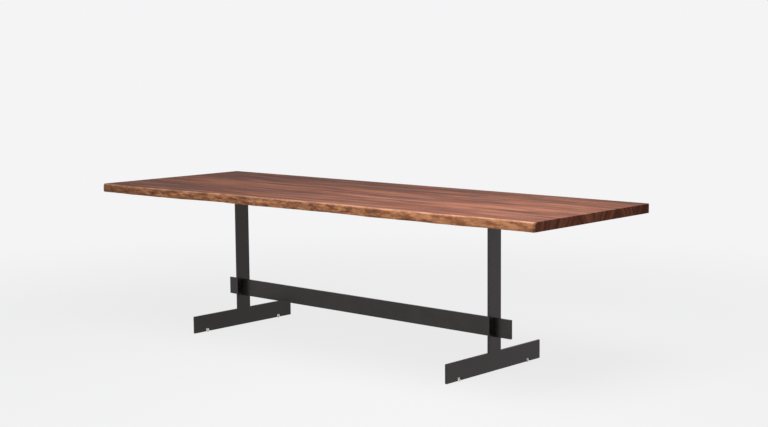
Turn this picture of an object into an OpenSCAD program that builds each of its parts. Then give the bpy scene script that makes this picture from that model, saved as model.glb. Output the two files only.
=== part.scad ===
// Dining table: a plank top with one live edge on a welded frame of flat steel bar.
// +X runs along the top, +Y points to its straight edge, and Z = 0 is the floor.

/* [Overall] */
// Length of the top
top_l = 2660; // [2200:10:2900]
// Width of the top at its widest place
top_w = 924; // [900:1:1000]
// Height of the top's upper face above the floor
table_h = 738; // [700:1:780]
// Thickness of the boards
top_t = 41; // [34:1:60]

/* [Boards] */
// Widths of the straight boards, from the straight edge forwards
board_widths = [126, 134, 160, 144, 146]; // [120:1:160]
// Radius of the top's corners in plan
corner_r = 12; // [4:1:25]

/* [Live edge] */
// How much narrower the right end of the top is than the left end
edge_taper = 82; // [0:1:90]
// Depth of the long waves along the live edge
edge_wave = 9; // [0:0.5:12]
// Depth of the ripples along the live edge
edge_ripple = 1.5; // [0:0.5:3]
// How far the upper arris is worn back from the edge
arris_in = 13; // [6:1:16]
// Most that the underside is drawn in from the edge
wane_in = 7; // [3:1:12]

/* [Frame] */
// Width of the flat bar
bar_w = 85; // [75:1:100]
// Thickness of the flat bar
bar_t = 10; // [8:1:12]
// Radius of the rolled corners of the bar
bar_r = 1; // [0.5:0.1:1.5]
// Distance between the middles of the two uprights
leg_span = 1634; // [1400:2:1900]
// How far the frame stands behind the middle of the top
frame_y = 31; // [20:1:40]
// Length of each foot
foot_l = 664; // [600:2:760]
// Length of the stretcher
stretcher_l = 1824; // [1700:2:2000]
// Height of the stretcher's lower edge above the floor
stretcher_z = 154; // [110:1:250]
// Length of the plates that carry the top
plate_l = 600; // [580:10:640]

/* [Top fixings] */
// Distances of the screws from the middle of each plate
screw_places = [110, 260]; // [90:5:280]
// Shank diameter of the screws
screw_d = 8; // [6:1:8]
// Length of the screws under the head
screw_l = 30; // [28:1:32]
// Width of the slots, which let the boards swell and shrink
slot_w = 9; // [9:0.5:10]
// Length of the slots from end to end
slot_l = 20; // [16:1:24]
// Outer diameter of the threaded inserts
insert_d = 14; // [13:0.5:16]
// Length of the threaded inserts
insert_l = 20; // [16:1:22]
// Outer diameter of the washers
washer_d = 24; // [18:1:26]

/* [Levelling glides] */
// Distance of each glide from the middle of its foot
glide_y = 245; // [200:5:280]
// Gap under the foot's lower edge
foot_gap = 3; // [2:0.5:6]
// Width of the notch that a glide stands in
notch_w = 24; // [20:1:40]
// Height of the notch
notch_h = 14; // [14:0.5:18]
// Thread diameter of the glide's stem
stem_d = 6; // [5:0.5:6.5]
// Length of the stem above the notch
stem_in = 24; // [18:1:30]
// Diameter of the glide's base
base_d = 14; // [12:0.5:16]

/* [Hidden] */
SIDES = [["left", -1], ["right", 1]];
CORNERS = [["front_left", -1, -1], ["front_right", 1, -1], ["back_left", -1, 1], ["back_right", 1, 1]];
STRAIGHT_BOARDS = ["board_back", "board_second", "board_third", "board_fourth", "board_fifth"];

walnut = "#7d4c38";
sapwood = "#b98a58";
blackened = "#3a3734";
zinc = "#a9a5a2";
nylon = "#d8d4ca";

// Gap on the radius between a thread and its hole, and between an insert and the wood
thread_gap = 0.05;
$fn = 48;

underside_z = table_h - top_t;
plate_z = underside_z - bar_t;
foot_top_z = foot_gap + bar_w;
leg_x = leg_span / 2;
back_y = top_w / 2;
live_y = -top_w / 2;
screw_ys = [for (place = screw_places) each [-place, place]];
insert_ys = [for (y = screw_ys) frame_y + y];

// Thickness of a washer, height of a screw head and its width across the flats
washer_t = 2;
head_h = 5.3;
head_af = 13;
insert_bore_depth = insert_l + 5;

// Levels of the glide, from the floor up
pad_t = 2;
pad_d = base_d - 3;
cup_lift = 1;
cup_rim_z = 3;
cup_top_z = 5.5;
cup_neck_d = 10;
journal_z = 2.6;
journal_d = 5;
collar_z = cup_top_z + 0.2;
collar_h = 4;
collar_af = 10;
notch_top_z = foot_gap + notch_h;
nut_h = 3.2;
stem_hole_l = stem_in + 6;

// Y of the joint behind straight board i, counted from the straight edge
function joint_y(i) = i == 0 ? back_y : joint_y(i - 1) - board_widths[i - 1];
last_joint_y = joint_y(len(board_widths));

// Inward drift of the live edge at x, before it is measured from its widest place
function drift(x) =
    edge_taper * x / top_l
    + edge_wave * sin(360 * x / 2200 + 107)
    + edge_wave * 0.45 * sin(360 * x / 800 - 29)
    - edge_wave * 0.33 * sin(360 * x / 400)
    + edge_ripple * sin(360 * x / 173)
    + edge_ripple * 0.6 * sin(360 * x / 97);

// Inset of a corner of radius r at distance d from the end
function corner_inset(d, r) = d >= r ? 0 : r - sqrt(r * r - (r - d) * (r - d));

// Places along the top where the live edge is shaped, closer together in the corners
corner_steps = [0, 0.07, 0.25, 0.55, 1];
edge_bays = 56;
bay = (top_l - 2 * corner_r) / edge_bays;
stations = [
    for (s = corner_steps) -top_l / 2 + s * corner_r,
    for (i = [1 : edge_bays - 1]) -top_l / 2 + corner_r + i * bay,
    for (i = [len(corner_steps) - 1 : -1 : 0]) top_l / 2 - corner_steps[i] * corner_r
];
widest = min([for (x = stations) drift(x)]);

// Outline of the live-edge board across its width at x: y and z, from the joint round to the joint
function live_profile(x) =
    let (edge = live_y + drift(x) - widest + corner_inset(top_l / 2 - abs(x), corner_r))
    let (wane = wane_in * (0.55 + 0.45 * sin(360 * x / 610 + 40)))
    [
        [last_joint_y, underside_z],
        [edge + wane, underside_z],
        [edge + wane * 0.15, underside_z + top_t * 0.12],
        [edge, underside_z + top_t * 0.35],
        [edge + arris_in * 0.15, underside_z + top_t * 0.65],
        [edge + arris_in * 0.45, table_h - top_t * 0.12],
        [edge + arris_in, table_h],
        [last_joint_y, table_h]
    ];

// Outline of a flat bar with rolled corners, centred, w along X and t along Y
function bar_outline(w, t) = [
    for (corner = [[1, 1, 0], [-1, 1, 90], [-1, -1, 180], [1, -1, 270]])
        for (turn = [0, 30, 60, 90])
            [
                corner[0] * (w / 2 - bar_r) + bar_r * cos(corner[2] + turn),
                corner[1] * (t / 2 - bar_r) + bar_r * sin(corner[2] + turn)
            ]
];

// A bar that stands up from z = 0, with its width along Y
module standing_bar(l) {
    rotate([0, 0, 90])
        linear_extrude(l)
            polygon(bar_outline(bar_w, bar_t));
}

// A bar centred on the origin that runs along Y, with its width upright
module bar_on_edge(l) {
    rotate([90, 90, 0])
        linear_extrude(l, center = true)
            polygon(bar_outline(bar_w, bar_t));
}

// A bar centred on the origin that runs along Y and lies flat
module bar_lying(l) {
    rotate([90, 0, 0])
        linear_extrude(l, center = true)
            polygon(bar_outline(bar_w, bar_t));
}

// A hexagonal prism, af across the flats
module hexagon(af, h) {
    cylinder(d = af / cos(30), h = h, $fn = 6);
}

// A hexagonal nut or collar with its corners turned off at both ends
module turned_hexagon(af, h) {
    turning = af * 0.04;
    corner_d = af / cos(30);
    intersection() {
        hexagon(af, h);
        union() {
            cylinder(d1 = af * 0.98, d2 = corner_d + 0.1, h = turning);
            translate([0, 0, turning])
                cylinder(d = corner_d + 0.1, h = h - 2 * turning);
            translate([0, 0, h - turning])
                cylinder(d1 = corner_d + 0.1, d2 = af * 0.98, h = turning);
        }
    }
}

// Its children at every place where a screw holds the top, at z = 0
module at_screws() {
    for (side = SIDES)
        for (y = screw_ys)
            translate([side[1] * leg_x, frame_y + y, 0])
                children();
}

// Its children at one corner's glide, at floor level
module at_glide(corner) {
    translate([corner[1] * leg_x, frame_y + corner[2] * glide_y, 0])
        children();
}

// Outline of straight board i, with the back board's outer corners rounded
module board_plan(i) {
    high = joint_y(i);
    low = joint_y(i + 1);
    round_r = i == 0 ? corner_r : 0;
    polygon([
        [-top_l / 2, low],
        [top_l / 2, low],
        for (turn = [0 : 15 : 90])
            [top_l / 2 - round_r + round_r * cos(turn), high - round_r + round_r * sin(turn)],
        for (turn = [90 : 15 : 180])
            [-top_l / 2 + round_r + round_r * cos(turn), high - round_r + round_r * sin(turn)]
    ]);
}

// One straight board, with blind holes for the inserts that fall within it
module straight_board(i) {
    color(walnut)
        difference() {
            translate([0, 0, underside_z])
                linear_extrude(top_t)
                    board_plan(i);
            for (side = SIDES)
                for (y = insert_ys)
                    if (y > joint_y(i + 1) && y < joint_y(i))
                        translate([side[1] * leg_x, y, underside_z - 1])
                            cylinder(d = insert_d + 2 * thread_gap, h = insert_bore_depth + 1);
        }
}

// The front board, which keeps the edge of the tree
module board_live_edge() {
    rings = [for (x = stations) live_profile(x)];
    ring_n = len(rings[0]);
    last = len(stations) - 1;
    color(sapwood)
        polyhedron(
            points = [
                for (k = [0 : last])
                    for (p = rings[k])
                        [stations[k], p[0], p[1]]
            ],
            faces = [
                [for (j = [0 : ring_n - 1]) j],
                for (k = [0 : last - 1])
                    for (j = [0 : ring_n - 1])
                        let (a = k * ring_n + j)
                        let (b = k * ring_n + (j + 1) % ring_n)
                        [a, a + ring_n, b + ring_n, b],
                [for (j = [ring_n - 1 : -1 : 0]) last * ring_n + j]
            ],
            convexity = 4
        );
}

// A crosswise plate under the boards, slotted across their grain
module top_plate(side) {
    color(blackened)
        difference() {
            translate([side * leg_x, frame_y, plate_z + bar_t / 2])
                bar_lying(plate_l);
            for (y = screw_ys)
                translate([side * leg_x, frame_y + y, plate_z - 1]) {
                    for (end = [-1, 1])
                        translate([0, end * (slot_l - slot_w) / 2, 0])
                            cylinder(d = slot_w, h = bar_t + 2);
                    translate([-slot_w / 2, -(slot_l - slot_w) / 2, 0])
                        cube([slot_w, slot_l - slot_w, bar_t + 2]);
                }
        }
}

// An upright between foot and plate, slotted for the stretcher
module upright(side) {
    color(blackened)
        difference() {
            translate([side * leg_x, frame_y, foot_top_z])
                standing_bar(plate_z - foot_top_z);
            translate([side * leg_x - bar_t, frame_y - bar_t / 2, stretcher_z])
                cube([2 * bar_t, bar_t, bar_w]);
        }
}

// A foot on edge, notched at each glide and tapped for its stem
module foot(side) {
    color(blackened)
        difference() {
            translate([side * leg_x, frame_y, foot_gap + bar_w / 2])
                bar_on_edge(foot_l);
            for (end = [-1, 1])
                translate([side * leg_x, frame_y + end * glide_y, 0]) {
                    translate([-bar_t, -notch_w / 2, 0])
                        cube([2 * bar_t, notch_w, notch_top_z]);
                    cylinder(d = stem_d + 2 * thread_gap, h = notch_top_z + stem_hole_l);
                }
        }
}

// The long stretcher, which passes through both uprights
module stretcher() {
    color(blackened)
        translate([0, frame_y, stretcher_z + bar_w / 2])
            rotate([0, 0, 90])
                bar_on_edge(stretcher_l);
}

// Threaded inserts, screwed into the boards from below
module threaded_inserts() {
    color(zinc)
        at_screws()
            translate([0, 0, underside_z])
                difference() {
                    cylinder(d = insert_d, h = insert_l);
                    translate([0, 0, -1])
                        cylinder(d = screw_d + 2 * thread_gap, h = insert_l + 2);
                }
}

// Plain washers, which span the slots
module top_washers() {
    color(zinc)
        at_screws()
            translate([0, 0, plate_z - washer_t])
                difference() {
                    cylinder(d = washer_d, h = washer_t);
                    translate([0, 0, -1])
                        cylinder(d = screw_d + 0.4, h = washer_t + 2);
                }
}

// Hexagon screws that hold the top down on its plates
module top_screws() {
    color(zinc)
        at_screws()
            translate([0, 0, plate_z - washer_t]) {
                translate([0, 0, -head_h])
                    turned_hexagon(head_af, head_h);
                cylinder(d = screw_d, h = screw_l);
            }
}

// Thin nuts that lock the glides against the roofs of their notches
module glide_lock_nuts() {
    color(zinc)
        for (corner = CORNERS)
            at_glide(corner)
                translate([0, 0, notch_top_z - nut_h])
                    difference() {
                        turned_hexagon(collar_af, nut_h);
                        translate([0, 0, -1])
                            cylinder(d = stem_d + 2 * thread_gap, h = nut_h + 2);
                    }
}

// A glide's stem: journal in the base, hexagon collar to turn it by, and thread
module glide_stem(corner) {
    color(zinc)
        at_glide(corner) {
            translate([0, 0, journal_z])
                cylinder(d = journal_d, h = collar_z - journal_z);
            translate([0, 0, collar_z])
                turned_hexagon(collar_af, collar_h);
            translate([0, 0, collar_z + collar_h])
                cylinder(d = stem_d, h = notch_top_z + stem_in - collar_z - collar_h);
        }
}

// A glide's base: a turned cup with a recess below for the pad and a socket above for the stem
module glide_base(corner) {
    recess_r = pad_d / 2;
    socket_r = journal_d / 2 + thread_gap;
    color(zinc)
        at_glide(corner)
            rotate_extrude()
                polygon([
                    [0, pad_t],
                    [recess_r, pad_t],
                    [recess_r, cup_lift],
                    [base_d / 2, cup_lift],
                    [base_d / 2, cup_rim_z],
                    [cup_neck_d / 2, cup_top_z],
                    [socket_r, cup_top_z],
                    [socket_r, journal_z],
                    [0, journal_z]
                ]);
}

// A glide's pad, the only part that touches the floor
module glide_pad(corner) {
    color(nylon)
        at_glide(corner)
            cylinder(d = pad_d, h = pad_t);
}

for (i = [0 : len(STRAIGHT_BOARDS) - 1])
    straight_board(i);
board_live_edge();
for (side = SIDES) {
    top_plate(side[1]);
    upright(side[1]);
    foot(side[1]);
}
stretcher();
threaded_inserts();
top_washers();
top_screws();
glide_lock_nuts();
for (corner = CORNERS) {
    glide_stem(corner);
    glide_base(corner);
    glide_pad(corner);
}
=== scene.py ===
import math

import bmesh
import bpy
from mathutils import Matrix, Vector


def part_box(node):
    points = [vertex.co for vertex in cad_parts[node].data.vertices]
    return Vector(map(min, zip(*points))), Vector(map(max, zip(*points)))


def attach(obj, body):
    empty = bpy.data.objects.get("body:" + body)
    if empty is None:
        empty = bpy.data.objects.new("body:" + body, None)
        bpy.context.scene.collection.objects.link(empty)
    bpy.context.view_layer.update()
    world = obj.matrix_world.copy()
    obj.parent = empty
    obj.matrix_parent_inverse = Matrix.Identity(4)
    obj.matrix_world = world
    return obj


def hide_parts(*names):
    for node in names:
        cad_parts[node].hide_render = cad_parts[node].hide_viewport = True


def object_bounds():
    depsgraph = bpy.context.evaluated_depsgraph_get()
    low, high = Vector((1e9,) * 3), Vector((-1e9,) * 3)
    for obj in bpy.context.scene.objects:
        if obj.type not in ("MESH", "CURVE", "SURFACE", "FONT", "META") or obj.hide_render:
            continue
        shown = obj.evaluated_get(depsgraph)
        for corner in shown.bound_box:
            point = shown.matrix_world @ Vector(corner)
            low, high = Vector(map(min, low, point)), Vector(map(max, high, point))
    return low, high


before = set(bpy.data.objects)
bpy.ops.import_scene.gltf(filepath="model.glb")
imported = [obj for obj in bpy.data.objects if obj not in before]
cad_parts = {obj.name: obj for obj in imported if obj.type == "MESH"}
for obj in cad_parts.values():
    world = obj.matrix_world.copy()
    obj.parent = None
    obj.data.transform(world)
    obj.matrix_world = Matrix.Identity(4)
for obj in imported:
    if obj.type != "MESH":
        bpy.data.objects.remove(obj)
cad_low, cad_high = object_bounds()


# ---------------------------------------------------------------- the straight boards
# Five planks of oiled black walnut, planed square and edge-glued, with their grain running
# along the top. Each is sawn from its own log, so each has its own rings, tone and streaks.
# The outer arrises are eased with a small router; the joints between the planks stay crisp.

ARRIS_RADIUS = 0.002
ROUNDING_STEPS = 3
CORNER_RADIUS = 0.012
NEAR = 1e-5
GRAIN_DEPTH = 0.00035
OILED_SHEEN = 0.02


def wire(tree, value, socket):
    """Joins another node's output to the socket, or sets a plain value on it."""
    if isinstance(value, bpy.types.NodeSocket):
        tree.links.new(value, socket)
    else:
        socket.default_value = value


def add_node(tree, kind, values=None, **settings):
    """A new node with its settings made and its inputs, by name or number, wired or set."""
    node = tree.nodes.new(kind)
    for name, value in settings.items():
        setattr(node, name, value)
    for socket, value in (values or {}).items():
        wire(tree, value, node.inputs[socket])
    return node


def calc(tree, operation, *values):
    """The output of a Math node."""
    return add_node(tree, "ShaderNodeMath", dict(enumerate(values)), operation=operation).outputs[0]


def combine(tree, x, y, z):
    """A vector from three numbers."""
    return add_node(tree, "ShaderNodeCombineXYZ", {0: x, 1: y, 2: z}).outputs[0]


def noise(tree, x, y, z, detail=3.0, rough=0.55):
    """Cloudy noise between 0 and 1 at a place."""
    values = {"Vector": combine(tree, x, y, z), "Scale": 1.0, "Detail": detail, "Roughness": rough}
    return add_node(tree, "ShaderNodeTexNoise", values).outputs[0]


def span(tree, value, low, high, to_low=0.0, to_high=1.0):
    """The value eased from low..high to to_low..to_high, and held outside them."""
    values = {"Value": value, "From Min": low, "From Max": high, "To Min": to_low, "To Max": to_high}
    return add_node(tree, "ShaderNodeMapRange", values, interpolation_type="SMOOTHSTEP").outputs[0]


def blend(tree, factor, first, second):
    """One colour mixed into another."""
    node = tree.nodes.new("ShaderNodeMix")
    node.data_type = "RGBA"
    for number, value in ((0, factor), (6, first), (7, second)):
        wire(tree, value, node.inputs[number])
    return node.outputs[2]


def colour(red, green, blue):
    return (red, green, blue, 1.0)


def add_sockets(tree, in_out, kinds):
    """Named group sockets, each given as name: kind of socket."""
    for name, kind in kinds.items():
        tree.interface.new_socket(name, in_out=in_out, socket_type=kind)


def build_walnut_figure():
    """The figure of a walnut board cut from a log: rings about a pith, streaks and pores."""
    tree = bpy.data.node_groups.new("walnut_figure", "ShaderNodeTree")
    add_sockets(tree, "INPUT", {
        "Vector": "NodeSocketVector",
        "End Grain": "NodeSocketFloat",
        "Pith Y": "NodeSocketFloat",
        "Pith Z": "NodeSocketFloat",
        "Log": "NodeSocketFloat",
        "Streaks": "NodeSocketFloat",
        "Pale": "NodeSocketColor",
        "Brown": "NodeSocketColor",
        "Dark": "NodeSocketColor",
    })
    add_sockets(tree, "OUTPUT", {
        "Color": "NodeSocketColor",
        "Roughness": "NodeSocketFloat",
        "Height": "NodeSocketFloat",
    })
    given = tree.nodes.new("NodeGroupInput").outputs
    x, y, z = add_node(tree, "ShaderNodeSeparateXYZ", {0: given["Vector"]}).outputs

    # The log isn't straight, so the pith wanders a few centimetres along its length
    wander = noise(tree, calc(tree, "MULTIPLY", x, 0.9), given["Log"], 0.0, 2.0)
    wander = calc(tree, "MULTIPLY_ADD", wander, 0.10, -0.05)
    buckle = noise(tree, calc(tree, "MULTIPLY", x, 4.0), calc(tree, "MULTIPLY", y, 9.0), given["Log"], 2.0)
    across = calc(tree, "ADD", calc(tree, "SUBTRACT", y, given["Pith Y"]), wander)
    across = calc(tree, "MULTIPLY_ADD", buckle, 0.016, across)
    depth = calc(tree, "SUBTRACT", z, given["Pith Z"])
    radius = calc(tree, "SQRT", calc(
        tree, "ADD", calc(tree, "MULTIPLY", across, across), calc(tree, "MULTIPLY", depth, depth)))

    # Wide bands of darker heartwood, narrower streaks, yearly rings and open pores
    bands = noise(
        tree, calc(tree, "MULTIPLY", x, 1.5), calc(tree, "MULTIPLY", radius, 22.0), given["Log"], 4.0, 0.6)
    streaks = noise(
        tree, calc(tree, "MULTIPLY", x, 3.2), calc(tree, "MULTIPLY", radius, 75.0), given["Log"], 4.0, 0.6)
    rings = noise(
        tree, calc(tree, "MULTIPLY", x, 2.5), calc(tree, "MULTIPLY", radius, 330.0), given["Log"], 3.0, 0.6)
    pores = noise(
        tree, calc(tree, "MULTIPLY", x, 75.0), calc(tree, "MULTIPLY", y, 1300.0),
        calc(tree, "MULTIPLY", z, 1300.0), 1.0)
    cloud = noise(
        tree, calc(tree, "MULTIPLY", x, 2.2), calc(tree, "MULTIPLY", y, 7.0), given["Log"], 3.0)

    tone = blend(tree, span(tree, bands, 0.42, 0.58), given["Brown"], given["Pale"])
    dark_bands = calc(tree, "MULTIPLY", span(tree, streaks, 0.36, 0.54, 1.0, 0.0), given["Streaks"])
    tone = blend(tree, dark_bands, tone, given["Dark"])
    tone = blend(tree, span(tree, rings, 0.35, 0.72, 0.42, 0.0), tone, given["Dark"])
    tone = blend(tree, span(tree, cloud, 0.5, 0.7, 0.0, 0.35), tone, given["Pale"])
    tone = blend(tree, span(tree, cloud, 0.3, 0.5, 0.45, 0.0), tone, given["Dark"])
    pore_mask = span(tree, pores, 0.60, 0.72)
    tone = blend(tree, calc(tree, "MULTIPLY", pore_mask, 0.35), tone, colour(0.03, 0.014, 0.010))
    # Sawn across, the open ends of the fibres drink more oil and look darker
    soaked = blend(tree, 1.0, tone, colour(0.80, 0.68, 0.62))
    soaked.node.blend_type = "MULTIPLY"
    tone = blend(tree, given["End Grain"], tone, soaked)

    rough = span(tree, cloud, 0.3, 0.7, 0.52, 0.64)
    rough = calc(tree, "ADD", rough, calc(tree, "MULTIPLY", pore_mask, 0.12))
    pits = calc(tree, "MULTIPLY", pore_mask, 0.6)
    height = calc(tree, "SUBTRACT", calc(tree, "MULTIPLY", rings, 0.35), pits)
    add_node(tree, "NodeGroupOutput", {"Color": tone, "Roughness": rough, "Height": height})
    return tree


def new_material(name):
    """An empty material with its Principled BSDF joined up: material, tree and shader."""
    material = bpy.data.materials.new(name)
    material.use_nodes = True
    tree = material.node_tree
    tree.nodes.clear()
    shader = tree.nodes.new("ShaderNodeBsdfPrincipled")
    add_node(tree, "ShaderNodeOutputMaterial", {"Surface": shader.outputs[0]})
    return material, tree, shader


def end_grain_mask(tree):
    """1 on faces sawn across the grain, which runs along X."""
    normal = add_node(tree, "ShaderNodeTexCoord").outputs["Normal"]
    facing = add_node(tree, "ShaderNodeSeparateXYZ", {0: normal}).outputs[0]
    return span(tree, calc(tree, "ABSOLUTE", facing), 0.55, 0.85)


def walnut_inputs(tree, log, pith, streaks, shade):
    """The walnut figure placed in a material, for a board from the given log."""
    group = tree.nodes.new("ShaderNodeGroup")
    group.node_tree = walnut_figure
    wire(tree, add_node(tree, "ShaderNodeTexCoord").outputs["Object"], group.inputs["Vector"])
    wire(tree, end_grain_mask(tree), group.inputs["End Grain"])
    group.inputs["Pith Y"].default_value = pith[0]
    group.inputs["Pith Z"].default_value = pith[1]
    group.inputs["Log"].default_value = log
    group.inputs["Streaks"].default_value = streaks
    group.inputs["Pale"].default_value = colour(0.40 * shade, 0.160 * shade, 0.095 * shade)
    group.inputs["Brown"].default_value = colour(0.205 * shade, 0.075 * shade, 0.047 * shade)
    group.inputs["Dark"].default_value = colour(0.072, 0.032, 0.029)
    return group.outputs


def relief(tree, height, strength, distance):
    """A normal that follows fine heights on the surface."""
    values = {"Height": height, "Strength": strength, "Distance": distance}
    return add_node(tree, "ShaderNodeBump", values).outputs[0]


def walnut_material(name, log, pith, streaks, shade):
    material, tree, shader = new_material(name)
    figure = walnut_inputs(tree, log, pith, streaks, shade)
    wire(tree, figure["Color"], shader.inputs["Base Color"])
    wire(tree, figure["Roughness"], shader.inputs["Roughness"])
    wire(tree, relief(tree, figure["Height"], 0.5, GRAIN_DEPTH), shader.inputs["Normal"])
    shader.inputs["Specular IOR Level"].default_value = OILED_SHEEN
    return material


def merged_copy(node):
    """A CAD node's shape with its loose triangles joined and its flat faces made whole."""
    shape = bmesh.new()
    shape.from_mesh(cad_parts[node].data)
    bmesh.ops.remove_doubles(shape, verts=shape.verts, dist=1e-6)
    bmesh.ops.dissolve_limit(
        shape, angle_limit=math.radians(0.5), verts=shape.verts, edges=shape.edges)
    return shape


def add_piece(name, shape, material, body, nodes):
    """A finished piece from a bmesh, riding on its body in place of its CAD nodes."""
    mesh = bpy.data.meshes.new(name)
    shape.to_mesh(mesh)
    shape.free()
    return add_mesh_piece(name, mesh, material, body, nodes)


def add_mesh_piece(name, mesh, material, body, nodes):
    mesh.materials.clear()
    mesh.materials.append(material)
    mesh.shade_smooth()
    piece = bpy.data.objects.new(name, mesh)
    bpy.context.scene.collection.objects.link(piece)
    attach(piece, body)
    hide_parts(*nodes)
    return piece


def weigh_normals(piece):
    """Keeps the flats flat beside their rounded edges."""
    weighted = piece.modifiers.new("flat_faces", "WEIGHTED_NORMAL")
    weighted.keep_sharp = True
    weighted.weight = 100


def round_edges(shape, edges, radius):
    """Rounds edges over."""
    bmesh.ops.bevel(
        shape, geom=edges, offset=radius, segments=ROUNDING_STEPS, profile=0.5, affect="EDGES")


def rim_edges(shape, node):
    """The level arrises round the top and bottom of a board, without its glued joints."""
    low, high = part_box(node)
    corner = CORNER_RADIUS + 0.001
    joints = [low.y] if node == "board_back" else [low.y, high.y]

    def at_rim(point):
        return abs(point.x) > high.x - corner or point.y > cad_high.y - corner

    def in_joint(edge):
        return any(all(abs(v.co.y - joint) < NEAR for v in edge.verts) for joint in joints)

    return [
        edge for edge in shape.edges
        if abs(edge.verts[0].co.z - edge.verts[1].co.z) < NEAR
        and edge.calc_face_angle(0) > math.radians(60)
        and all(at_rim(v.co) for v in edge.verts)
        and not in_joint(edge)
    ]


walnut_figure = build_walnut_figure()

# Each board's log, how far its pith lies from the origin in Y and Z, its streaks and its tone
boards = {
    "board_back": (1.3, (0.78, 0.52), 0.75, 0.78),
    "board_second": (5.9, (0.02, 0.60), 0.80, 0.84),
    "board_third": (9.2, (0.40, 0.55), 0.60, 1.02),
    "board_fourth": (14.6, (-0.31, 0.50), 0.50, 1.16),
    "board_fifth": (21.1, (0.09, 0.58), 0.75, 1.00),
}
for node, (log, pith, streaks, shade) in boards.items():
    shape = merged_copy(node)
    round_edges(shape, rim_edges(shape, node), ARRIS_RADIUS)
    material = walnut_material(f"walnut_{node}", log, pith, streaks, shade)
    piece = add_piece(f"walnut_{node}", shape, material, "table", [node])
    piece.data.set_sharp_from_angle(angle=math.radians(40))
    weigh_normals(piece)


# ---------------------------------------------------------------- the live-edge board
# The front plank keeps the wavy outer edge of the tree, stripped of bark and sanded smooth.
# It is heartwood to within a few millimetres of the edge, where the pale sapwood and the
# brown stain of the bark begin. It is glued to the fifth board.

EDGE_CELLS = (760, 15, 19)
DARK_END = 0.48


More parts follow.
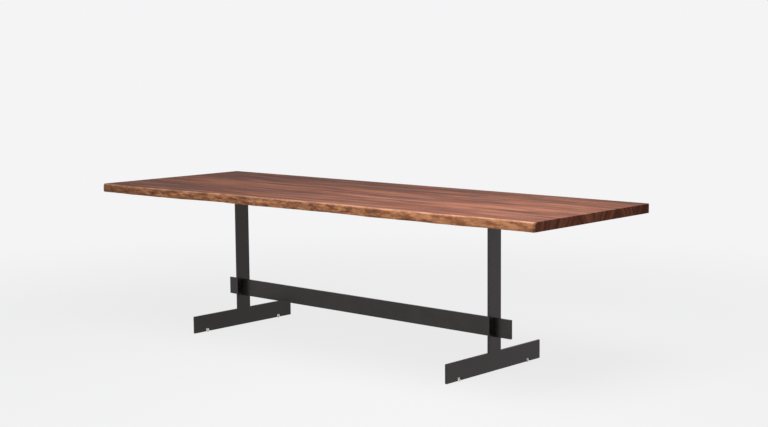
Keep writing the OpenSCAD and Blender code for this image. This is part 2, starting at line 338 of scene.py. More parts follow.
def build_live_edge_tree():
    """A board drawn as a box of cells, bent to the tree's outline along one side."""
    tree = bpy.data.node_groups.new("live_edge_board", "GeometryNodeTree")
    lengths = [
        "Length", "Joint Y", "Widest Y", "Underside Z", "Thickness", "Taper", "Wave", "Ripple",
        "Worn Arris", "Wane", "Corner Radius", "Eased Radius", "Relief", "Seed",
    ]
    add_sockets(tree, "INPUT", {name: "NodeSocketFloat" for name in lengths})
    add_sockets(tree, "INPUT", {"Material": "NodeSocketMaterial"})
    add_sockets(tree, "OUTPUT", {"Geometry": "NodeSocketGeometry"})
    given = tree.nodes.new("NodeGroupInput").outputs

    box = add_node(tree, "GeometryNodeMeshCube", {
        "Size": (1.0, 1.0, 1.0), "Vertices X": EDGE_CELLS[0], "Vertices Y": EDGE_CELLS[1],
        "Vertices Z": EDGE_CELLS[2]})
    position = tree.nodes.new("GeometryNodeInputPosition").outputs[0]
    along, across, up = add_node(tree, "ShaderNodeSeparateXYZ", {0: position}).outputs

    # Cells crowd together at the ends, at the live edge and at the arrises
    half = calc(tree, "MULTIPLY", given["Length"], 0.5)
    from_end = calc(tree, "SUBTRACT", 0.5, calc(tree, "ABSOLUTE", along))
    from_end = calc(tree, "MULTIPLY", from_end, given["Length"])
    end_crowding = 0.012
    edge_crowding = 2.2
    ends = calc(tree, "MULTIPLY", from_end, from_end)
    ends = calc(tree, "DIVIDE", ends, calc(tree, "ADD", from_end, end_crowding))
    stretch = calc(tree, "DIVIDE", calc(tree, "ADD", half, end_crowding), half)
    ends = calc(tree, "MULTIPLY", ends, stretch)
    x = calc(tree, "MULTIPLY", calc(tree, "SIGN", along), calc(tree, "SUBTRACT", half, ends))
    inward = calc(tree, "ADD", across, 0.5)
    inward = calc(tree, "POWER", inward, edge_crowding)
    level = calc(tree, "MULTIPLY", calc(tree, "ADD", up, 0.5), math.pi)
    level = calc(tree, "MULTIPLY_ADD", calc(tree, "COSINE", level), -0.5, 0.5)

    def wave(height, length, turn):
        angle = calc(tree, "MULTIPLY_ADD", x, 2 * math.pi / length, math.radians(turn))
        return calc(tree, "MULTIPLY", calc(tree, "SINE", angle), height)

    # How far the edge drifts inwards along the board, measured from its widest place. Each wave
    # has its share of the height, its length in metres and its turn in degrees.
    drift = calc(tree, "MULTIPLY", calc(tree, "DIVIDE", x, given["Length"]), given["Taper"])
    for share, length, turn in ((1.0, 2.2, 107), (0.45, 0.8, -29), (-0.33, 0.4, 0)):
        drift = calc(tree, "ADD", drift, wave(calc(tree, "MULTIPLY", given["Wave"], share), length, turn))
    for share, length, turn in ((1.0, 0.173, 0), (0.6, 0.097, 0)):
        drift = calc(tree, "ADD", drift, wave(calc(tree, "MULTIPLY", given["Ripple"], share), length, turn))
    least = add_node(tree, "GeometryNodeAttributeStatistic", {"Geometry": box.outputs["Mesh"], 2: drift})
    drift = calc(tree, "SUBTRACT", drift, least.outputs["Min"])

    def rounding(distance, radius):
        """How far a round of this radius has fallen away at a distance from its end."""
        left = calc(tree, "MAXIMUM", calc(tree, "SUBTRACT", radius, distance), 0.0)
        rest = calc(tree, "MULTIPLY", radius, radius)
        rest = calc(tree, "SUBTRACT", rest, calc(tree, "MULTIPLY", left, left))
        return calc(tree, "SUBTRACT", radius, calc(tree, "SQRT", calc(tree, "MAXIMUM", rest, 0.0)))

    drift = calc(tree, "ADD", drift, rounding(ends, given["Corner Radius"]))

    def curve(points, value):
        """A smooth curve through points."""
        node = add_node(tree, "ShaderNodeFloatCurve", {"Value": value})
        line = node.mapping.curves[0]
        line.points[0].location = points[0]
        line.points[-1].location = points[-1]
        for point in points[1:-1]:
            line.points.new(*point)
        node.mapping.update()
        return node.outputs[0]

    # The worn upper arris and the undercut below, both of which wander along the board
    knock = noise(tree, calc(tree, "MULTIPLY", x, 14.0), given["Seed"], 0.0, 3.0)
    worn = calc(tree, "MULTIPLY", given["Worn Arris"], span(tree, knock, 0.3, 0.7, 0.7, 1.15))
    swing = calc(tree, "SINE", calc(tree, "MULTIPLY_ADD", x, 10.3, 0.7))
    swing = calc(tree, "MULTIPLY_ADD", swing, 0.45, 0.55)
    wane = calc(tree, "MULTIPLY", given["Wane"], swing)
    rounded = curve([(0, 0), (0.35, 0), (0.65, 0.13), (0.88, 0.42), (1, 1)], level)
    undercut = curve([(0, 1), (0.06, 0.4), (0.18, 0.08), (0.4, 0), (1, 0)], level)
    top_in = calc(tree, "MULTIPLY", rounded, worn)
    low_in = calc(tree, "MULTIPLY", undercut, wane)

    # Shallow furrows along the grain and small lumps, where the bark sat
    skin_z = calc(tree, "MULTIPLY", level, given["Thickness"])
    furrows = noise(
        tree, calc(tree, "MULTIPLY", x, 22.0), calc(tree, "MULTIPLY", skin_z, 95.0), given["Seed"], 3.0)
    lumps = noise(
        tree, calc(tree, "MULTIPLY", x, 75.0), calc(tree, "MULTIPLY", skin_z, 120.0), given["Seed"], 2.0)
    furrows = calc(tree, "MULTIPLY", span(tree, furrows, 0.3, 0.7), 0.7)
    lumps = calc(tree, "MULTIPLY", span(tree, lumps, 0.3, 0.7), 0.3)
    rough = calc(tree, "MULTIPLY", calc(tree, "ADD", furrows, lumps), given["Relief"])
    rough = calc(tree, "MULTIPLY", rough, span(tree, ends, 0.002, 0.03))

    edge = calc(tree, "ADD", given["Widest Y"], drift)
    skin = calc(tree, "ADD", edge, calc(tree, "ADD", calc(tree, "ADD", top_in, low_in), rough))
    y = calc(tree, "MULTIPLY", calc(tree, "SUBTRACT", 1.0, inward), skin)
    y = calc(tree, "ADD", y, calc(tree, "MULTIPLY", inward, given["Joint Y"]))
    eased = rounding(ends, given["Eased Radius"])
    top_drop = calc(tree, "MULTIPLY", span(tree, level, 0.5, 1.0, 0.0, -1.0), eased)
    foot_rise = calc(tree, "MULTIPLY", span(tree, level, 0.0, 0.5, 1.0, 0.0), eased)
    z = calc(tree, "MULTIPLY_ADD", level, given["Thickness"], given["Underside Z"])
    z = calc(tree, "ADD", z, calc(tree, "ADD", top_drop, foot_rise))

    # What the finish has to know: how far in from the tree's own edge, and how much is bark side
    depth_in = calc(tree, "SUBTRACT", y, edge)
    bark_side = span(tree, inward, 0.0, 0.0008, 1.0, 0.0)
    shaped = box.outputs["Mesh"]
    for name, value in (("edge_depth", depth_in), ("bark_side", bark_side)):
        shaped = add_node(
            tree, "GeometryNodeStoreNamedAttribute", {"Geometry": shaped, "Name": name, "Value": value},
            data_type="FLOAT", domain="POINT").outputs[0]
    shaped = add_node(tree, "GeometryNodeSetPosition", {
        "Geometry": shaped, "Position": combine(tree, x, y, z)}).outputs[0]
    shaped = add_node(tree, "GeometryNodeRealizeInstances", {"Geometry": shaped}).outputs[0]
    shaped = add_node(
        tree, "GeometryNodeSetMaterial", {"Geometry": shaped, "Material": given["Material"]}).outputs[0]
    add_node(tree, "NodeGroupOutput", {"Geometry": shaped})
    return tree


def grow(name, tree, inputs):
    """The plain mesh that a Geometry Nodes tree makes from its named inputs."""
    seedbed = bpy.data.objects.new(name, bpy.data.meshes.new(name))
    bpy.context.scene.collection.objects.link(seedbed)
    modifier = seedbed.modifiers.new(tree.name, "NODES")
    modifier.node_group = tree
    identifiers = {s.name: s.identifier for s in tree.interface.items_tree if s.in_out == "INPUT"}
    for socket, value in inputs.items():
        modifier[identifiers[socket]] = value
    bpy.context.view_layer.update()
    grown = seedbed.evaluated_get(bpy.context.evaluated_depsgraph_get())
    mesh = bpy.data.meshes.new_from_object(grown)
    seedbed.modifiers.remove(modifier)
    bpy.data.objects.remove(seedbed)
    return mesh


def place_on_piece(tree):
    """X, Y and Z of a place on the piece, in the table's own frame."""
    place = add_node(tree, "ShaderNodeTexCoord").outputs["Object"]
    return add_node(tree, "ShaderNodeSeparateXYZ", {0: place}).outputs


def live_edge_material():
    """Walnut that turns to sanded sapwood and bark stain on the tree's own edge, with a painted highlight
    on the arris.
    """
    material, tree, shader = new_material("walnut_live_edge")
    figure = walnut_inputs(tree, 27.4, (0.12, 0.60), 0.5, 1.04)
    x, _, z = place_on_piece(tree)
    bark_side = add_node(tree, "ShaderNodeAttribute", attribute_name="bark_side").outputs["Fac"]
    edge_depth = add_node(tree, "ShaderNodeAttribute", attribute_name="edge_depth").outputs["Fac"]

    # The sanded skin: tan sapwood with rusty patches, brown stain and dark flecks of bark
    patches = noise(tree, calc(tree, "MULTIPLY", x, 11.0), 2.0, calc(tree, "MULTIPLY", z, 45.0), 5.0, 0.7)
    stain = noise(tree, calc(tree, "MULTIPLY", x, 19.0), 7.0, calc(tree, "MULTIPLY", z, 80.0), 5.0, 0.7)
    flecks = noise(tree, calc(tree, "MULTIPLY", x, 70.0), 4.0, calc(tree, "MULTIPLY", z, 190.0), 3.0, 0.7)
    clean = span(tree, calc(tree, "ADD", x, patches), 0.9, 1.5)
    tan = span(tree, patches, 0.38, 0.60)
    skin = blend(tree, tan, colour(0.21, 0.080, 0.040), colour(0.47, 0.21, 0.10))
    stained = span(tree, stain, 0.36, 0.58, 0.9, 0.0)
    stained = calc(tree, "MULTIPLY", stained, calc(tree, "MULTIPLY_ADD", clean, -0.7, 1.0))
    skin = blend(tree, stained, skin, colour(0.095, 0.042, 0.025))
    # The skin is blended darker over the last half metre towards the left end
    near_left_end = span(tree, x, edge_low.x, edge_low.x + DARK_END, 0.55, 0.0)
    skin = blend(tree, near_left_end, skin, colour(0.14, 0.060, 0.036))
    skin = blend(tree, span(tree, flecks, 0.58, 0.70, 0.0, 0.6), skin, colour(0.05, 0.024, 0.016))
    tone = blend(tree, bark_side, figure["Color"], skin)
    # A pale line along the arris: partly pale sapwood, partly a painted highlight on its rounding
    arris = calc(
        tree, "MULTIPLY", span(tree, edge_depth, 0.009, 0.015, 1.0, 0.0),
        span(tree, z, edge_high.z - 0.0075, edge_high.z - 0.0025))
    arris = calc(tree, "MULTIPLY", arris, span(tree, patches, 0.35, 0.65, 0.25, 0.6))
    tone = blend(tree, arris, tone, colour(0.66, 0.36, 0.24))
    wire(tree, tone, shader.inputs["Base Color"])
    wire(tree, figure["Roughness"], shader.inputs["Roughness"])
    scars = calc(tree, "MULTIPLY", calc(tree, "MULTIPLY", flecks, bark_side), 1.5)
    height = calc(tree, "ADD", figure["Height"], scars)
    wire(tree, relief(tree, height, 0.5, GRAIN_DEPTH), shader.inputs["Normal"])
    shader.inputs["Specular IOR Level"].default_value = OILED_SHEEN
    return material


edge_low, edge_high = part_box("board_live_edge")
live_edge_finish = live_edge_material()
live_edge_mesh = grow("live_edge_shape", build_live_edge_tree(), {
    "Length": edge_high.x - edge_low.x,
    "Joint Y": edge_high.y,
    "Widest Y": edge_low.y,
    "Underside Z": edge_low.z,
    "Thickness": edge_high.z - edge_low.z,
    "Taper": 0.082,
    "Wave": 0.009,
    "Ripple": 0.0015,
    "Worn Arris": 0.007,
    "Wane": 0.007,
    "Corner Radius": CORNER_RADIUS,
    "Eased Radius": ARRIS_RADIUS,
    "Relief": 0.0009,
    "Seed": 3.7,
    "Material": live_edge_finish,
})
live_edge_piece = add_mesh_piece(
    "live_edge_board", live_edge_mesh, live_edge_finish, "table", ["board_live_edge"])
live_edge_piece.data.set_sharp_from_angle(angle=math.radians(50))


# ---------------------------------------------------------------- the end frames
# At each end an upright stands on a foot, both of 85 by 10 flat steel bar, butt-welded flush
# and ground so that no seam shows. The foot is notched above each glide, and the upright is
# slotted for the stretcher. The steel is chemically blackened and waxed to a satin black.

BAR_ROUND = 0.001
NOTCH_WIDTH = 0.024
NOTCH_HEIGHT = 0.014


def even_noise(tree, place, scale, detail, rough=0.55):
    """Cloudy noise that is alike in every direction."""
    x, y, z = (calc(tree, "MULTIPLY", part, scale) for part in place)
    return noise(tree, x, y, z, detail, rough)


def blackened_material():
    """Satin black oxide under wax, cloudy and finely speckled."""
    material, tree, shader = new_material("blackened_steel")
    place = place_on_piece(tree)
    bloom = even_noise(tree, place, 9.0, 5.0, 0.6)
    speckle = even_noise(tree, place, 260.0, 2.0)
    tone = blend(
        tree, span(tree, bloom, 0.35, 0.65),
        colour(0.0050, 0.0040, 0.0037), colour(0.011, 0.0092, 0.0086))
    tone = blend(tree, span(tree, speckle, 0.62, 0.74, 0.0, 0.5), tone, colour(0.030, 0.026, 0.024))
    wire(tree, tone, shader.inputs["Base Color"])
    wire(tree, span(tree, bloom, 0.3, 0.7, 0.27, 0.38), shader.inputs["Roughness"])
    wire(tree, relief(tree, speckle, 0.25, 0.0001), shader.inputs["Normal"])
    shader.inputs["Specular IOR Level"].default_value = 0.44
    shader.inputs["Specular Tint"].default_value = colour(1.0, 0.93, 0.90)
    return material


def end_frame_shape(side):
    """The upright and foot in one sheet of cells, notched and slotted, then given its thickness."""
    foot_low, foot_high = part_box(f"foot_{side}")
    bar_low, bar_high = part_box(f"upright_{side}")
    beam_low, beam_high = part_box("stretcher")
    notches = []
    for end in ("front", "back"):
        stem_low, stem_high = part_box(f"glide_stem_{end}_{side}")
        middle = (stem_low.y + stem_high.y) / 2
        notches.append((middle - NOTCH_WIDTH / 2, middle + NOTCH_WIDTH / 2))
    notch_top = foot_low.z + NOTCH_HEIGHT
    across = sorted({
        foot_low.y, foot_high.y, bar_low.y, bar_high.y, beam_low.y, beam_high.y,
        *(y for notch in notches for y in notch)})
    levels = sorted({foot_low.z, notch_top, foot_high.z, beam_low.z, beam_high.z, bar_high.z})

    def is_steel(y, z):
        if z < foot_high.z:
            return z > notch_top or not any(low < y < high for low, high in notches)
        in_slot = beam_low.y < y < beam_high.y and beam_low.z < z < beam_high.z
        return bar_low.y < y < bar_high.y and not in_slot

    shape = bmesh.new()
    corners = {}

    def corner(y, z):
        if (y, z) not in corners:
            corners[y, z] = shape.verts.new((foot_low.x, y, z))
        return corners[y, z]

    for low_y, high_y in zip(across, across[1:]):
        for low_z, high_z in zip(levels, levels[1:]):
            if is_steel((low_y + high_y) / 2, (low_z + high_z) / 2):
                shape.faces.new([
                    corner(low_y, low_z), corner(low_y, high_z),
                    corner(high_y, high_z), corner(high_y, low_z)])
    made = bmesh.ops.extrude_face_region(shape, geom=shape.faces[:])
    pushed = [part for part in made["geom"] if isinstance(part, bmesh.types.BMVert)]
    bmesh.ops.translate(shape, verts=pushed, vec=(foot_high.x - foot_low.x, 0, 0))
    bmesh.ops.recalc_face_normals(shape, faces=shape.faces)
    bmesh.ops.dissolve_limit(
        shape, angle_limit=math.radians(0.5), verts=shape.verts, edges=shape.edges)

    def at_slot(point):
        beside = beam_low.y - NEAR < point.y < beam_high.y + NEAR
        return beside and beam_low.z - NEAR < point.z < beam_high.z + NEAR

    # The slot's own edges stay crisp under the weld
    round_edges(shape, [
        edge for edge in shape.edges
        if edge.calc_face_angle(0) > math.radians(60) and not all(at_slot(v.co) for v in edge.verts)
    ], BAR_ROUND)
    return shape


blackened = blackened_material()
for side in ("left", "right"):
    piece = add_piece(
        f"end_frame_{side}", end_frame_shape(side), blackened, "table",
        [f"upright_{side}", f"foot_{side}"])
    piece.data.set_sharp_from_angle(angle=math.radians(40))
    weigh_normals(piece)


# ---------------------------------------------------------------- the stretcher
# One long bar on edge, of the same steel, joins the two end frames. It is pushed through
# their slots, stands out a little beyond each and is welded where it passes through.

def bar_shape(node):
    """A CAD bar with smooth rolled corners and lightly dressed ends."""
    low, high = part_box(node)
    shape = bmesh.new()
    bmesh.ops.create_cube(shape, size=1.0)
    bmesh.ops.scale(shape, vec=high - low, verts=shape.verts)
    bmesh.ops.translate(shape, vec=(low + high) / 2, verts=shape.verts)
    round_edges(shape, shape.edges[:], BAR_ROUND)
    return shape


stretcher = add_piece(
    "stretcher_bar", bar_shape("stretcher"), blackened, "table", ["stretcher"])
stretcher.data.set_sharp_from_angle(angle=math.radians(40))
weigh_normals(stretcher)


# ---------------------------------------------------------------- the top plates
# A flat bar is welded across the head of each upright, under the boards. It is slotted across
# their grain, so that the boards can swell and shrink past its screws.

for side in ("left", "right"):
    plate = merged_copy(f"top_plate_{side}")
    add_piece(
        f"top_plate_{side}_bar", plate, blackened, "table",
        [f"top_plate_{side}"]).data.set_sharp_from_angle(angle=math.radians(40))


# ---------------------------------------------------------------- the top's fixings
# At eight places a threaded insert sits in the boards, and a zinc-plated hexagon screw with a
# broad washer comes up through the plate's slot into it. All eight sets are alike.

HEX_SIDES = 36
HEAD_FLATS = 0.013
HEAD_CORNERS = 0.0150
HEAD_FACE = 0.0061
HEAD_CROWN = 0.0007
HEAD_SHOULDER = 0.0006
SHANK = 0.004
SHANK_CORE = 0.00335
SHANK_RELIEF = 0.0005
SHANK_LEAD = 0.001
POINT_SHARE = 0.85
SCREW_PITCH = 0.00125
THREAD_SIDES = 20
THREAD_RINGS = 6
RING_SIDES = 48
WASHER_BORE = 0.0042
BROKEN_EDGE = 0.0002
INSERT_BORE = 0.00405
INSERT_CREST = 0.007
INSERT_CORE = 0.0060
INSERT_PITCH = 0.0030
INSERT_LEAD = 0.001
INSERT_SIDES = 28
# How far the inner and the outer screws stand from the middle of an end frame
INNER_PLACE = 0.110
OUTER_PLACE = 0.260


def zinc_material(name, bright):
    """Zinc plating: soft grey metal, a little cloudy, with fine turning marks."""
    material, tree, shader = new_material(name)
    place = place_on_piece(tree)
    cloud = even_noise(tree, place, 420.0, 3.0)
    marks = noise(tree, 1.0, 2.0, calc(tree, "MULTIPLY", place[2], 6000.0), 1.0)
    dull = colour(0.42 * bright, 0.40 * bright, 0.39 * bright)
    clear = colour(0.60 * bright, 0.58 * bright, 0.57 * bright)
    wire(tree, blend(tree, span(tree, cloud, 0.3, 0.7), dull, clear), shader.inputs["Base Color"])
    wire(tree, span(tree, cloud, 0.3, 0.7, 0.28, 0.45), shader.inputs["Roughness"])
    wire(tree, relief(tree, marks, 0.2, 0.00005), shader.inputs["Normal"])
    shader.inputs["Metallic"].default_value = 1.0
    return material


def turned(shape, outline, sides, at=(0.0, 0.0), twist=None):
    """A closed turned solid from (radius, height) points, from its lower middle to its upper."""
    rings = []
    for radius, height in outline:
        if radius == 0:
            rings.append([shape.verts.new((at[0], at[1], height))])
            continue
        ring = []
        for step in range(sides):
            angle = 2 * math.pi * step / sides
            out = radius if twist is None else twist(radius, height, angle)
            ring.append(shape.verts.new((
                at[0] + out * math.cos(angle), at[1] + out * math.sin(angle), height)))
        rings.append(ring)
    for lower, upper in zip(rings, rings[1:]):
        for step in range(sides):
            ahead_step = (step + 1) % sides
            corners = [
                lower[step % len(lower)], lower[ahead_step % len(lower)],
                upper[ahead_step % len(upper)], upper[step % len(upper)]]
            shape.faces.new(list(dict.fromkeys(corners)))


def thread_outline(low, high, crest, pitch):
    """Points at the crest's radius up a thread, a few to each turn."""
    steps = round((high - low) / pitch * THREAD_RINGS)
    return [(crest, low + (high - low) * step / steps) for step in range(steps + 1)]


def threading(low, high, core, crest, pitch):
    """A screw thread's radius round its turns, which fades into the core at both ends."""
    def radius_at(radius, height, angle):
        if not low <= height <= high or radius < crest:
            return radius
        turn = (height / pitch - angle / (2 * math.pi)) % 1.0
        ridge = 1.0 - abs(2.0 * turn - 1.0)
        fade = min(1.0, (height - low) / pitch, (high - height) / pitch)
        return core + (crest - core) * ridge * max(fade, 0.0)
    return radius_at


def hexagon_ring(flats):
    """The radius of a hexagon's outline in each direction."""
    def radius_at(radius, height, angle):
        side = (angle + math.pi / 6) % (math.pi / 3) - math.pi / 6
        return min(radius, flats / 2 / math.cos(side))
    return radius_at


screw_low, screw_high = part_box("top_screws")
washer_low, washer_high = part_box("top_washers")
insert_low, insert_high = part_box("threaded_inserts")
post_low, post_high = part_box("upright_right")
leg_x = (post_low.x + post_high.x) / 2
frame_y = (post_low.y + post_high.y) / 2
washer_radius = washer_high.x - leg_x


def screw_shape():
    """A hexagon head and a threaded shank, head down."""
    shape = bmesh.new()
    seat = washer_low.z
    base = screw_low.z
    turned(shape, [
        (0, base), (HEAD_FACE, base), (HEAD_FLATS / 2, base + BROKEN_EDGE),
        (HEAD_CORNERS / 2, base + HEAD_CROWN), (HEAD_CORNERS / 2, seat - HEAD_SHOULDER),
        (HEAD_FLATS / 2, seat - BROKEN_EDGE), (HEAD_FACE, seat), (0, seat),
    ], HEX_SIDES, twist=hexagon_ring(HEAD_FLATS))
    top = screw_high.z
    start = seat + SHANK_RELIEF
    finish = top - SHANK_LEAD
    turned(shape, [
        (0, seat), (SHANK, seat), *thread_outline(start, finish, SHANK, SCREW_PITCH),
        (SHANK_CORE * POINT_SHARE, top), (0, top),
    ], THREAD_SIDES, twist=threading(start, finish, SHANK_CORE, SHANK, SCREW_PITCH))
    return shape


def ring_shape(low, high, bore, outer, edge):
    """A flat ring with its corners broken."""
    shape = bmesh.new()
    outline = [
        (bore, low + edge), (bore + edge, low), (outer - edge, low), (outer, low + edge),
        (outer, high - edge), (outer - edge, high), (bore + edge, high), (bore, high - edge)]
    turned(shape, [*outline, outline[0]], RING_SIDES)
    bmesh.ops.remove_doubles(shape, verts=shape.verts, dist=1e-7)
    return shape


def insert_shape():
    """A sleeve with a coarse wood thread outside."""
    shape = bmesh.new()
    low, high = insert_low.z, insert_high.z
    start = low + INSERT_LEAD
    finish = high - INSERT_LEAD
    turned(shape, [
        (INSERT_BORE, low), (INSERT_CORE, low),
        *thread_outline(start, finish, INSERT_CREST, INSERT_PITCH),
        (INSERT_CORE, high), (INSERT_BORE, high), (INSERT_BORE, low),
    ], INSERT_SIDES, twist=threading(start, finish, INSERT_CORE, INSERT_CREST, INSERT_PITCH))
    bmesh.ops.remove_doubles(shape, verts=shape.verts, dist=1e-7)
    return shape


def build_fixing_tree():
    """One fixing set out at the eight places where the top is held to its plates."""
    tree = bpy.data.node_groups.new("top_fixings", "GeometryNodeTree")
    add_sockets(tree, "INPUT", {
        "Fixing": "NodeSocketObject", "Leg Span": "NodeSocketFloat", "Frame Y": "NodeSocketFloat",
        "Inner Place": "NodeSocketFloat", "Outer Place": "NodeSocketFloat",
        "Material": "NodeSocketMaterial"})
    add_sockets(tree, "OUTPUT", {"Geometry": "NodeSocketGeometry"})
    given = tree.nodes.new("NodeGroupInput").outputs
    index = tree.nodes.new("GeometryNodeInputIndex").outputs[0]
    right_side = calc(tree, "GREATER_THAN", index, 3.5)
    back_half = calc(tree, "GREATER_THAN", calc(tree, "MODULO", index, 4.0), 1.5)
    outer_pair = calc(tree, "MODULO", index, 2.0)
    reach = calc(tree, "SUBTRACT", given["Outer Place"], given["Inner Place"])
    reach = calc(tree, "MULTIPLY_ADD", outer_pair, reach, given["Inner Place"])
    x = calc(tree, "MULTIPLY", calc(tree, "SUBTRACT", right_side, 0.5), given["Leg Span"])
    y = calc(tree, "MULTIPLY_ADD", back_half, 2.0, -1.0)
    y = calc(tree, "MULTIPLY_ADD", y, reach, given["Frame Y"])
    points = add_node(tree, "GeometryNodePoints", {"Count": 8, "Position": combine(tree, x, y, 0.0)})
    fixing = add_node(tree, "GeometryNodeObjectInfo", {"Object": given["Fixing"]})
    placed = add_node(tree, "GeometryNodeInstanceOnPoints", {
        "Points": points.outputs[0], "Instance": fixing.outputs["Geometry"]})
    real = add_node(tree, "GeometryNodeRealizeInstances", {"Geometry": placed.outputs[0]})
    done = add_node(
        tree, "GeometryNodeSetMaterial", {"Geometry": real.outputs[0], "Material": given["Material"]})
    add_node(tree, "NodeGroupOutput", {"Geometry": done.outputs[0]})
    return tree


fixing_tree = build_fixing_tree()
zinc = zinc_material("zinc_plating", 1.0)
washer_shape = ring_shape(washer_low.z, washer_high.z, WASHER_BORE, washer_radius, BROKEN_EDGE)
for name, shape, node in (
    ("hexagon_screws", screw_shape(), "top_screws"),
    ("broad_washers", washer_shape, "top_washers"),
    ("wood_inserts", insert_shape(), "threaded_inserts"),
):
    bmesh.ops.recalc_face_normals(shape, faces=shape.faces)
    sample_mesh = bpy.data.meshes.new(name)
    shape.to_mesh(sample_mesh)
    shape.free()
    sample = bpy.data.objects.new("one_of_" + name, sample_mesh)
    bpy.context.scene.collection.objects.link(sample)
    mesh = grow(name, fixing_tree, {
        "Fixing": sample, "Leg Span": 2 * leg_x, "Frame Y": frame_y, "Inner Place": INNER_PLACE,
        "Outer Place": OUTER_PLACE, "Material": zinc})
    bpy.data.objects.remove(sample)
    add_mesh_piece(name, mesh, zinc, "table", [node]).data.set_sharp_from_angle(
        angle=math.radians(35))


# ---------------------------------------------------------------- the levelling glides
# Under each end of a foot a glide stands in its notch: a plated cup on a nylon pad, and a
# screw with a hexagon collar that turns in the cup and runs up into the foot. Turning the
# collar lifts or lowers the table, and a thin nut locks the screw against the notch's roof.

GLIDE_PITCH = 0.001
STEM_SIDES = 24
STEM_CREST = 0.003
STEM_CORE = 0.00255
STEM_RELIEF = 0.0003
STEM_LEAD = 0.0008
JOURNAL = 0.0025
COLLAR_FLATS = 0.010
COLLAR_CORNERS = 0.01154
COLLAR_FACE = 0.0049
COLLAR_HEIGHT = 0.004
COLLAR_GAP = 0.0002
CHAMFER = 0.0004
CUP_ROLL = 0.0003
CUP_RIM = 0.0016
CUP_SHOULDER = 0.0020
CUP_NECK = 0.0053
SOCKET = 0.00256
SOCKET_FLOOR = 0.0025
PAD_RECESS = 0.0020
PAD_SIDES = 40
# How far in and how far up each point of the pad's soft lower rim lies
PAD_RIM = ((0.0004, 0.0), (0.0001, 0.0003), (0.0, 0.0008))


def nylon_material():
    """Pale moulded nylon, a little uneven."""
    material, tree, shader = new_material("nylon_pad")
    cloud = even_noise(tree, place_on_piece(tree), 300.0, 3.0)
    tone = blend(
        tree, span(tree, cloud, 0.3, 0.7), colour(0.60, 0.58, 0.53), colour(0.72, 0.70, 0.65))
    wire(tree, tone, shader.inputs["Base Color"])
    wire(tree, span(tree, cloud, 0.3, 0.7, 0.42, 0.58), shader.inputs["Roughness"])
    return material


nylon = nylon_material()
bright_zinc = zinc_material("bright_zinc_plating", 1.35)
for corner in ("front_left", "front_right", "back_left", "back_right"):
    base_low, base_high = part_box(f"glide_base_{corner}")
    stem_low, stem_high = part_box(f"glide_stem_{corner}")
    pad_low, pad_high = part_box(f"glide_pad_{corner}")
    middle = ((base_low.x + base_high.x) / 2, (base_low.y + base_high.y) / 2)
    base_radius = (base_high.x - base_low.x) / 2
    pad_radius = (pad_high.x - pad_low.x) / 2

    shape = bmesh.new()
    turned(shape, [
        (0, pad_low.z), *((pad_radius - inset, pad_low.z + rise) for inset, rise in PAD_RIM),
        (pad_radius, pad_high.z), (0, pad_high.z)], PAD_SIDES, at=middle)
    add_piece(
        f"pad_{corner}", shape, nylon, f"base_{corner}",
        [f"glide_pad_{corner}"]).data.set_sharp_from_angle(angle=math.radians(50))

    # The cup, with a rolled rim and a socket for the stem's journal
    shape = bmesh.new()
    turned(shape, [
        (0, PAD_RECESS), (pad_radius, PAD_RECESS), (pad_radius, base_low.z + BROKEN_EDGE),
        (pad_radius + BROKEN_EDGE, base_low.z), (base_radius - CUP_ROLL, base_low.z),
        (base_radius, base_low.z + CUP_ROLL), (base_radius, base_low.z + CUP_RIM),
        (base_radius - CUP_ROLL, base_low.z + CUP_SHOULDER), (CUP_NECK, base_high.z - CHAMFER),
        (CUP_NECK - CHAMFER, base_high.z), (SOCKET + BROKEN_EDGE, base_high.z),
        (SOCKET, base_high.z - BROKEN_EDGE), (SOCKET, SOCKET_FLOOR), (0, SOCKET_FLOOR),
    ], RING_SIDES, at=middle)
    add_piece(
        f"cup_{corner}", shape, bright_zinc, f"base_{corner}",
        [f"glide_base_{corner}"]).data.set_sharp_from_angle(angle=math.radians(35))

    # The stem: journal, hexagon collar and thread
    collar_low = base_high.z + COLLAR_GAP
    collar_high = collar_low + COLLAR_HEIGHT
    shape = bmesh.new()
    turned(shape, [
        (0, stem_low.z), (JOURNAL - BROKEN_EDGE, stem_low.z), (JOURNAL, stem_low.z + BROKEN_EDGE),
        (JOURNAL, collar_low), (0, collar_low)], STEM_SIDES, at=middle)
    turned(shape, [
        (0, collar_low), (COLLAR_FACE, collar_low), (COLLAR_CORNERS / 2, collar_low + CHAMFER),
        (COLLAR_CORNERS / 2, collar_high - CHAMFER), (COLLAR_FACE, collar_high), (0, collar_high),
    ], HEX_SIDES, at=middle, twist=hexagon_ring(COLLAR_FLATS))
    start = collar_high + STEM_RELIEF
    finish = stem_high.z - STEM_LEAD
    turned(shape, [
        (0, collar_high), (STEM_CORE, collar_high),
        *thread_outline(start, finish, STEM_CREST, GLIDE_PITCH),
        (STEM_CORE * POINT_SHARE, stem_high.z), (0, stem_high.z),
    ], STEM_SIDES, at=middle, twist=threading(start, finish, STEM_CORE, STEM_CREST, GLIDE_PITCH))
    add_piece(
        f"stem_{corner}", shape, bright_zinc, f"stem_{corner}",
        [f"glide_stem_{corner}"]).data.set_sharp_from_angle(angle=math.radians(35))

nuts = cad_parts["glide_lock_nuts"]
nuts.data.materials.clear()
nuts.data.materials.append(bright_zinc)


# ---------------------------------------------------------------- the studio
# A wide pale floor fades without a seam into a pale surround. A square key lamp hangs over the
# right half of the top, and a larger fill lamp stands in front.

BACKDROP = colour(0.905, 0.905, 0.915)
FLOOR_GLOW = 0.88
FADE_START = 1.4
FADE_END = 4.5
floor_mesh = bpy.data.meshes.new("floor")
floor_shape = bmesh.new()
bmesh.ops.create_grid(floor_shape, x_segments=1, y_segments=1, size=60)
floor_shape.to_mesh(floor_mesh)
floor_shape.free()
floor = bpy.data.objects.new("floor", floor_mesh)
bpy.context.scene.collection.objects.link(floor)


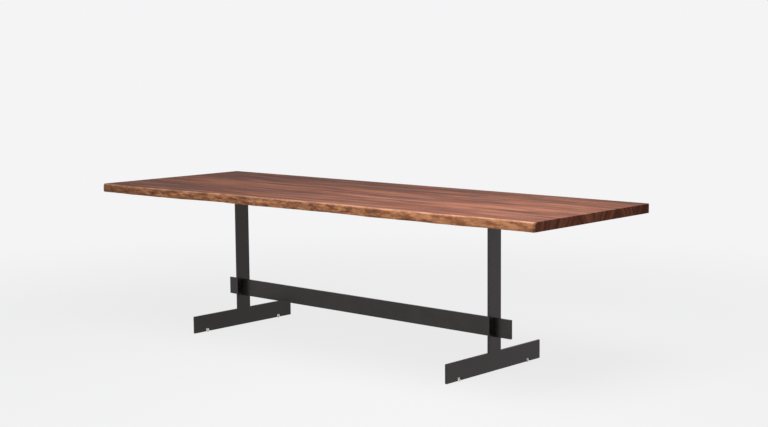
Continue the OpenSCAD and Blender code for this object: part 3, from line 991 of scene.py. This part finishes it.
def seen_directly(tree):
    """1 for a ray from the camera or off a shiny or clear surface."""
    path = tree.nodes.new("ShaderNodeLightPath").outputs
    rays = calc(tree, "MAXIMUM", path["Is Camera Ray"], path["Is Glossy Ray"])
    return calc(tree, "MAXIMUM", rays, path["Is Transmission Ray"])


floor_finish, tree, shader = new_material("pale_floor")
shader.inputs["Base Color"].default_value = colour(0.80, 0.805, 0.81)
shader.inputs["Roughness"].default_value = 0.9
shader.inputs["Specular IOR Level"].default_value = 0.1
x, y, _ = place_on_piece(tree)
reach = calc(tree, "ADD", calc(tree, "MULTIPLY", x, x), calc(tree, "MULTIPLY", y, y))
fade = span(tree, calc(tree, "SQRT", reach), FADE_START, FADE_END, FLOOR_GLOW, 1.0)
fade = calc(tree, "MULTIPLY", fade, seen_directly(tree))
glow = add_node(tree, "ShaderNodeEmission", {"Color": BACKDROP, "Strength": 1.0})
mixed = add_node(tree, "ShaderNodeMixShader", {0: fade, 1: shader.outputs[0], 2: glow.outputs[0]})
# From below the floor is clear, so that the underside can be seen
below = tree.nodes.new("ShaderNodeNewGeometry").outputs["Backfacing"]
clear = tree.nodes.new("ShaderNodeBsdfTransparent")
mixed = add_node(tree, "ShaderNodeMixShader", {0: below, 1: mixed.outputs[0], 2: clear.outputs[0]})
tree.links.new(mixed.outputs[0], next(n for n in tree.nodes if n.type == "OUTPUT_MATERIAL").inputs[0])
floor_mesh.materials.append(floor_finish)

world = bpy.data.worlds.new("studio")
world.use_nodes = True
bpy.context.scene.world = world
tree = world.node_tree
tree.nodes.clear()
light = add_node(tree, "ShaderNodeBackground", {"Color": colour(0.98, 0.99, 1.0), "Strength": 0.22})
view = add_node(tree, "ShaderNodeBackground", {"Color": BACKDROP, "Strength": 1.0})
mixed = add_node(tree, "ShaderNodeMixShader", {
    0: seen_directly(tree), 1: light.outputs[0], 2: view.outputs[0]})
add_node(tree, "ShaderNodeOutputWorld", {"Surface": mixed.outputs[0]})


def add_lamp(name, place, aim, size, power):
    """A soft square lamp that points at a place."""
    lamp = bpy.data.lights.new(name, "AREA")
    lamp.shape = "SQUARE"
    lamp.size = size
    lamp.energy = power
    holder = bpy.data.objects.new(name, lamp)
    holder.location = place
    holder.rotation_euler = (Vector(aim) - Vector(place)).to_track_quat("-Z", "Y").to_euler()
    bpy.context.scene.collection.objects.link(holder)


add_lamp("key", (1.15, -0.7, 2.5), (0.9, 0.0, 0.7), 1.6, 64)
add_lamp("fill", (-0.5, -4.5, 1.6), (0.0, 0.0, 0.6), 3.0, 75)


# ---------------------------------------------------------------- the camera
# It stands 1.4 metres up and well off the table's right front corner, looks slightly down, and
# leans by half a degree.

CAMERA_PLACE = Vector((4.5072, -4.7292, 1.4140))
CAMERA_PITCH = 0.1182
CAMERA_ROLL = -0.0085
CAMERA_YAW = -0.7389
CAMERA_LENS = 65.40
camera = bpy.data.cameras.new("camera")
camera.sensor_width = 36
camera.lens = CAMERA_LENS
view_from = bpy.data.objects.new("camera", camera)
ahead = Vector((
    math.sin(CAMERA_YAW) * math.cos(CAMERA_PITCH),
    math.cos(CAMERA_YAW) * math.cos(CAMERA_PITCH),
    -math.sin(CAMERA_PITCH)))
right = Vector((math.cos(CAMERA_YAW), -math.sin(CAMERA_YAW), 0))
up = right.cross(ahead)
right, up = (
    right * math.cos(CAMERA_ROLL) + up * math.sin(CAMERA_ROLL),
    up * math.cos(CAMERA_ROLL) - right * math.sin(CAMERA_ROLL))
facing = Matrix((right, up, -ahead)).transposed().to_4x4()
view_from.matrix_world = Matrix.Translation(CAMERA_PLACE) @ facing
bpy.context.scene.collection.objects.link(view_from)
bpy.context.scene.camera = view_from
bpy.context.scene.view_settings.view_transform = "Standard"
